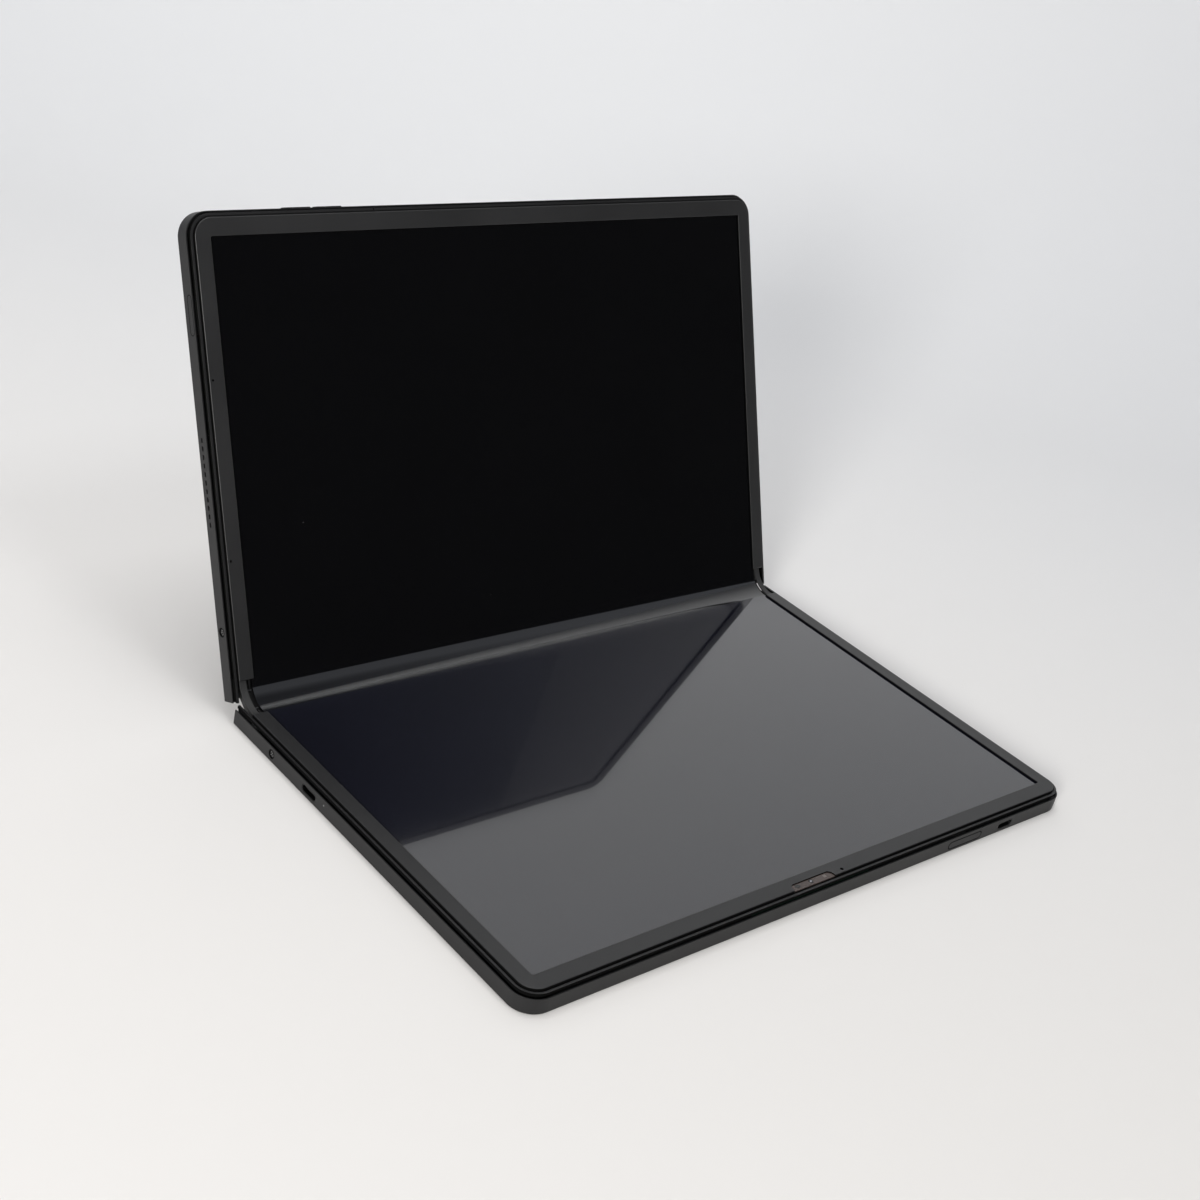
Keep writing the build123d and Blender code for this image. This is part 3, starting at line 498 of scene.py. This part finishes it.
def pad(name, x, y, half, corner, profile, finish):
    """A low form on the window, half its size each way, with rounded corners.

    The profile lists how far each outline is inset and how high it lies.
    """
    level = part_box("camera_window")[1].z / MM
    bm = bmesh.new()
    rings = []
    for inset, height in profile:
        ring = []
        for i in range(PAD_STEPS):
            angle = 2 * pi * (i + 0.5) / PAD_STEPS
            c, s = cos(angle), sin(angle)
            px = x + (half[0] - corner) * (1 if c > 0 else -1) + (corner - inset) * c
            py = y + (half[1] - corner) * (1 if s > 0 else -1) + (corner - inset) * s
            ring.append(bm.verts.new((px * MM, py * MM, (level + height) * MM)))
        rings.append(ring)
    for a, b in zip(rings, rings[1:]):
        for i in range(PAD_STEPS):
            j = (i + 1) % PAD_STEPS
            bm.faces.new((a[i], a[j], b[j], b[i])).smooth = True
    bm.faces.new(rings[-1])
    bm.faces.new(rings[0][::-1])
    mesh = bpy.data.meshes.new(name)
    bm.to_mesh(mesh)
    bm.free()
    mesh.materials.append(finish)
    piece = bpy.data.objects.new(name, mesh)
    scene.collection.objects.link(piece)
    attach(piece, "base")


RING = [(0, -0.05), (0, 0.05), (0.06, 0.09), (0.3, 0.09), (0.38, 0.03)]
DOME = [(0, 0.0), (0.02, 0.08), (0.1, 0.15), (0.2, 0.19), (0.32, 0.21)]
TILE = [(0, -0.05), (0, 0.02), (0.05, 0.04)]
lens_glass = coated("lens_glass", (0.3, 0.3, 0.33), 0.15, 4.0, 0.002, variation=0.05)
filter_glass = coated("filter_glass", (0.12, 0.1, 0.09), 0.2, 4.0, 0.002, variation=0.05)
strip_y = (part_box("camera_window")[0].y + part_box("camera_window")[1].y) / 2 / MM + PAD_SHIFT
black = MATERIALS["black_plastic"]
pad("camera_ring", CAMERA_X, strip_y, (0.95, 0.95), 0.95, RING, black)
pad("camera_lens", CAMERA_X, strip_y, (0.42, 0.42), 0.42, DOME, lens_glass)
pad("camera_infrared", INFRARED_X, strip_y, (1.15, 0.85), 0.8, TILE, black)
pad("camera_sensor", SENSOR_X, strip_y, (0.75, 0.7), 0.2, TILE, filter_glass)


# Painted shade: dark rings in the narrow gaps and dark bars in the grooves, in millimetres
SEAM_PLAY = 0.03  # from the part that moves in the ring
SEAM_PROUD = 0.01  # over the face of the wall
SEAM_WIDTH = 0.5
TRAY_SEAM_WIDTH = 0.35
SEAM_DEPTH = 0.15
SEAM_STEPS = 48
GROOVE_SHADE_SECTIONS = ((0.4, 0.2), (0.7, 0.0), (8.7, 0.0), (9.0, 0.2))  # distance from the fold, shrink
GROOVE_SHADE_LEVEL = (5.05, 6.55)
GROOVE_SHADE_REACH = (0.95, 1.75)  # from the half's side
# Near-black finish of the rings and bars: painted shade for the dark gaps and grooves.
GAP_SHADE = coated("gap_painted_shade", (0.003, 0.003, 0.003), 0.8, 4.0, 0.01, specular=0.08)


def half_point(half, x, u, z):
    """A point of one half (mm; u is the distance from the fold) in the row frame (m)."""
    if half == "base":
        return (BASE_START + Vector((x, -u, z - AXIS_HEIGHT))) * MM
    turn = Matrix.Rotation(2 * FOLD, 3, "X")
    return (LID_START + turn @ Vector((x, u, z - AXIS_HEIGHT))) * MM


def finished(bm, name, half):
    """The closed mesh as a dark piece of painted shade that rides on one half."""
    bmesh.ops.recalc_face_normals(bm, faces=bm.faces)
    mesh = bpy.data.meshes.new(name)
    bm.to_mesh(mesh)
    bm.free()
    mesh.materials.append(GAP_SHADE)
    piece = bpy.data.objects.new(name, mesh)
    scene.collection.objects.link(piece)
    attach(piece, half)


def seam(name, half, at, long_way, size, gap, inward):
    """A round-ended ring in the gap round a button, tray or screw and on its opening's edge."""
    length, height = size
    bm = bmesh.new()
    rings = []
    for grow, deep in ((SEAM_PLAY, 0.0), (gap, 0.0), (gap, SEAM_DEPTH), (SEAM_PLAY, SEAM_DEPTH)):
        ring = []
        radius = height / 2 + grow
        for i in range(SEAM_STEPS):
            angle = 2 * pi * (i + 0.5) / SEAM_STEPS
            along = (length - height) / 2 * (1 if cos(angle) > 0 else -1) + radius * cos(angle)
            x, u, z = (a + along * b + deep * c for a, b, c in zip(at, long_way, inward))
            ring.append(bm.verts.new(half_point(half, x, u, z + radius * sin(angle))))
        rings.append(ring)
    for a, b in zip(rings, rings[1:] + rings[:1]):
        for i in range(SEAM_STEPS):
            j = (i + 1) % SEAM_STEPS
            bm.faces.new((a[i], a[j], b[j], b[i]))
    finished(bm, name, half)


def groove_shade(name, half, side):
    """A dark bar of painted shade that closes the groove beside the ledge's end at the fold."""
    bm = bmesh.new()
    sections = []
    for u, shrink in GROOVE_SHADE_SECTIONS:
        low, high = GROOVE_SHADE_LEVEL[0] + shrink, GROOVE_SHADE_LEVEL[1] - shrink
        outer = HALF_WIDTH - GROOVE_SHADE_REACH[0] - shrink
        inner = HALF_WIDTH - GROOVE_SHADE_REACH[1] + shrink
        corners = ((outer, low), (outer, high), (inner, high), (inner, low))
        sections.append([bm.verts.new(half_point(half, side * x, u, z)) for x, z in corners])
    for a, b in zip(sections, sections[1:]):
        for i in range(4):
            bm.faces.new((a[i], a[(i + 1) % 4], b[(i + 1) % 4], b[i]))
    bm.faces.new(sections[0][::-1])
    bm.faces.new(sections[-1])
    finished(bm, name, half)


seam("power_seam", "base", (POWER_X, HALF_DEPTH + SEAM_PROUD, BUTTON_LEVEL), (1, 0, 0),
     POWER_SIZE, SEAM_WIDTH, (0, -1, 0))
seam("tray_seam", "lid", (-HALF_WIDTH - SEAM_PROUD, *TRAY_PLACE), (0, 1, 0), TRAY_SIZE,
     TRAY_SEAM_WIDTH, (1, 0, 0))
for i, name in ((-0.5, "up"), (0.5, "down")):
    at = (VOLUME_X + i * VOLUME_SPACING, HALF_DEPTH + SEAM_PROUD, BUTTON_LEVEL)
    seam(f"volume_{name}_seam", "lid", at, (1, 0, 0), VOLUME_SIZE, SEAM_WIDTH, (0, -1, 0))
for half in ("base", "lid"):
    for side, name in ((-1, "left"), (1, "right")):
        at = (side * (HALF_WIDTH + SEAM_PROUD), *SCREW_PLACE)
        seam(f"{half}_screw_seam_{name}", half, at, (0, 1, 0), SCREW_SIZE, SEAM_WIDTH,
             (-side, 0, 0))
        groove_shade(f"{half}_corner_groove_shade_{name}", half, side)

# Stage: floor that sweeps up into a wall behind the object
SWEEP_AZIMUTH = 46.7  # degrees from +Y towards +X, the way the camera looks
SWEEP_START = 0.45
SWEEP_RADIUS = 0.65
SWEEP_TOP = 1.95
SWEEP_STEPS = 32
FLOOR_REACH = 4.0
SWEEP_WIDTH = 3.0
# The right of the paper is darker than the left: painted shade for the light's falloff away from the key lamp on
# the left.
PAPER_LEFT = ((0.81, 0.79, 0.765), (0.79, 0.795, 0.80))  # near, far
PAPER_RIGHT_SHADED = ((0.74, 0.725, 0.70), (0.71, 0.715, 0.725))
PAPER_AWAY = (-300, 700)  # millimetres over which near turns into far
PAPER_ACROSS = (-200, 700)  # and left into right


def gradual(tree, value, reach):
    """Turns slowly from 0 to 1 as value goes through reach."""
    node = add(tree, "ShaderNodeMapRange", interpolation_type="SMOOTHSTEP")
    tree.links.new(value, node.inputs["Value"])
    node.inputs["From Min"].default_value, node.inputs["From Max"].default_value = reach
    return node.outputs["Result"]


def stage():
    """The paper, as one swept sheet whose colour changes slowly, darker to the right as painted shade."""
    profile = [(-FLOOR_REACH, 0.0), (SWEEP_START, 0.0)]
    for i in range(1, SWEEP_STEPS + 1):
        angle = pi / 2 * i / SWEEP_STEPS
        profile.append((SWEEP_START + SWEEP_RADIUS * sin(angle), SWEEP_RADIUS * (1 - cos(angle))))
    profile.append((SWEEP_START + SWEEP_RADIUS, SWEEP_TOP))
    bm = bmesh.new()
    rows = [[bm.verts.new((x, d, z)) for d, z in profile] for x in (-SWEEP_WIDTH, SWEEP_WIDTH)]
    for i in range(len(profile) - 1):
        bm.faces.new((rows[0][i], rows[1][i], rows[1][i + 1], rows[0][i + 1])).smooth = True
    mesh = bpy.data.meshes.new("backdrop")
    bm.to_mesh(mesh)
    bm.free()
    sweep = bpy.data.objects.new("backdrop", mesh)
    sweep.rotation_euler = (0, 0, radians(-SWEEP_AZIMUTH))
    scene.collection.objects.link(sweep)
    made, tree, shader = material("backdrop_paper")
    split = add(tree, "ShaderNodeSeparateXYZ")
    tree.links.new(place(tree), split.inputs[0])
    away = gradual(tree, split.outputs["Y"], PAPER_AWAY)
    across = gradual(tree, split.outputs["X"], PAPER_ACROSS)
    left = blended(tree, away, *PAPER_LEFT)
    right = blended(tree, away, *PAPER_RIGHT_SHADED)
    tree.links.new(blended(tree, across, left, right), shader.inputs["Base Color"])
    shader.inputs["Roughness"].default_value = 0.9
    shader.inputs["Specular IOR Level"].default_value = 0.1
    mesh.materials.append(made)


stage()


# Lights
def lamp(name, place_m, aim, size, power, colour):
    """A square softbox: places and size in metres, power in watts."""
    data = bpy.data.lights.new(name, "AREA")
    data.shape = "SQUARE"
    data.size = size
    data.energy = power
    data.color = colour
    made = bpy.data.objects.new(name, data)
    made.location = place_m
    made.rotation_euler = (Vector(aim) - Vector(place_m)).to_track_quat("-Z", "Y").to_euler()
    made.visible_camera = False
    scene.collection.objects.link(made)


lamp("top_light", (0.0, 0.2, 1.9), (0, 0, 0), 1.2, 14.0, (1.0, 0.99, 0.98))
lamp("key_light", (-1.67, -0.85, 0.68), (0, 0.05, 0.05), 0.5, 32.0, (1.0, 0.985, 0.96))
lamp("front_light", (0.1, -0.95, 1.55), (0, 0.05, 0.05), 0.45, 4.0, (0.98, 0.99, 1.0))

# Room: pale all round, darker overhead; the ramp goes by the height of the direction
SKY_EDGE = (0.75, 0.86)
SKY_ROUND = (0.36, 0.375, 0.41)
SKY_OVERHEAD = (0.12, 0.125, 0.14)
world = bpy.data.worlds.new("studio")
world.use_nodes = True
sky = world.node_tree
split_sky = add(sky, "ShaderNodeSeparateXYZ")
sky.links.new(add(sky, "ShaderNodeTexCoord").outputs["Generated"], split_sky.inputs[0])
stops = list(zip(SKY_EDGE, (SKY_ROUND, SKY_OVERHEAD)))
tone = ramp(sky, split_sky.outputs["Z"], stops)
sky.links.new(tone, sky.nodes["Background"].inputs["Color"])
sky.nodes["Background"].inputs["Strength"].default_value = 1.0
scene.world = world

# Dark side of the room, seen in gloss and as missing fill light only
DARK_AZIMUTH = (-65, 75)  # degrees from -Y towards +X
DARK_RADIUS = 2.2
DARK_HEIGHT = (0.001, 1.6)
DARK_STEPS = 24


def dark_side():
    """A dark sheet that stands in an arc on the front side: painted shade for the room's dark side, seen in gloss
    and as missing fill light.
    """
    bm = bmesh.new()
    columns = []
    start, end = DARK_AZIMUTH
    for i in range(DARK_STEPS + 1):
        angle = radians(start + (end - start) * i / DARK_STEPS)
        x, y = DARK_RADIUS * sin(angle), -DARK_RADIUS * cos(angle)
        columns.append([bm.verts.new((x, y, z)) for z in DARK_HEIGHT])
    for a, b in zip(columns, columns[1:]):
        bm.faces.new((a[0], b[0], b[1], a[1]))
    mesh = bpy.data.meshes.new("dark_side")
    bm.to_mesh(mesh)
    bm.free()
    screen = bpy.data.objects.new("dark_side", mesh)
    scene.collection.objects.link(screen)
    screen.visible_camera = False
    screen.visible_shadow = False
    made, tree, shader = material("dark_side_shade")
    shader.inputs["Base Color"].default_value = (0.03, 0.03, 0.03, 1)
    shader.inputs["Specular IOR Level"].default_value = 0.0
    mesh.materials.append(made)


dark_side()

# Camera
camera_data = bpy.data.cameras.new("camera")
camera_data.lens = LENS
camera_data.sensor_width = 36
camera_data.shift_x, camera_data.shift_y = SHIFT
camera = bpy.data.objects.new("camera", camera_data)
camera.location = CAMERA_PLACE
camera.rotation_euler = tuple(radians(a) for a in CAMERA_TURN)
scene.collection.objects.link(camera)
scene.camera = camera
scene.view_settings.view_transform = "Standard"
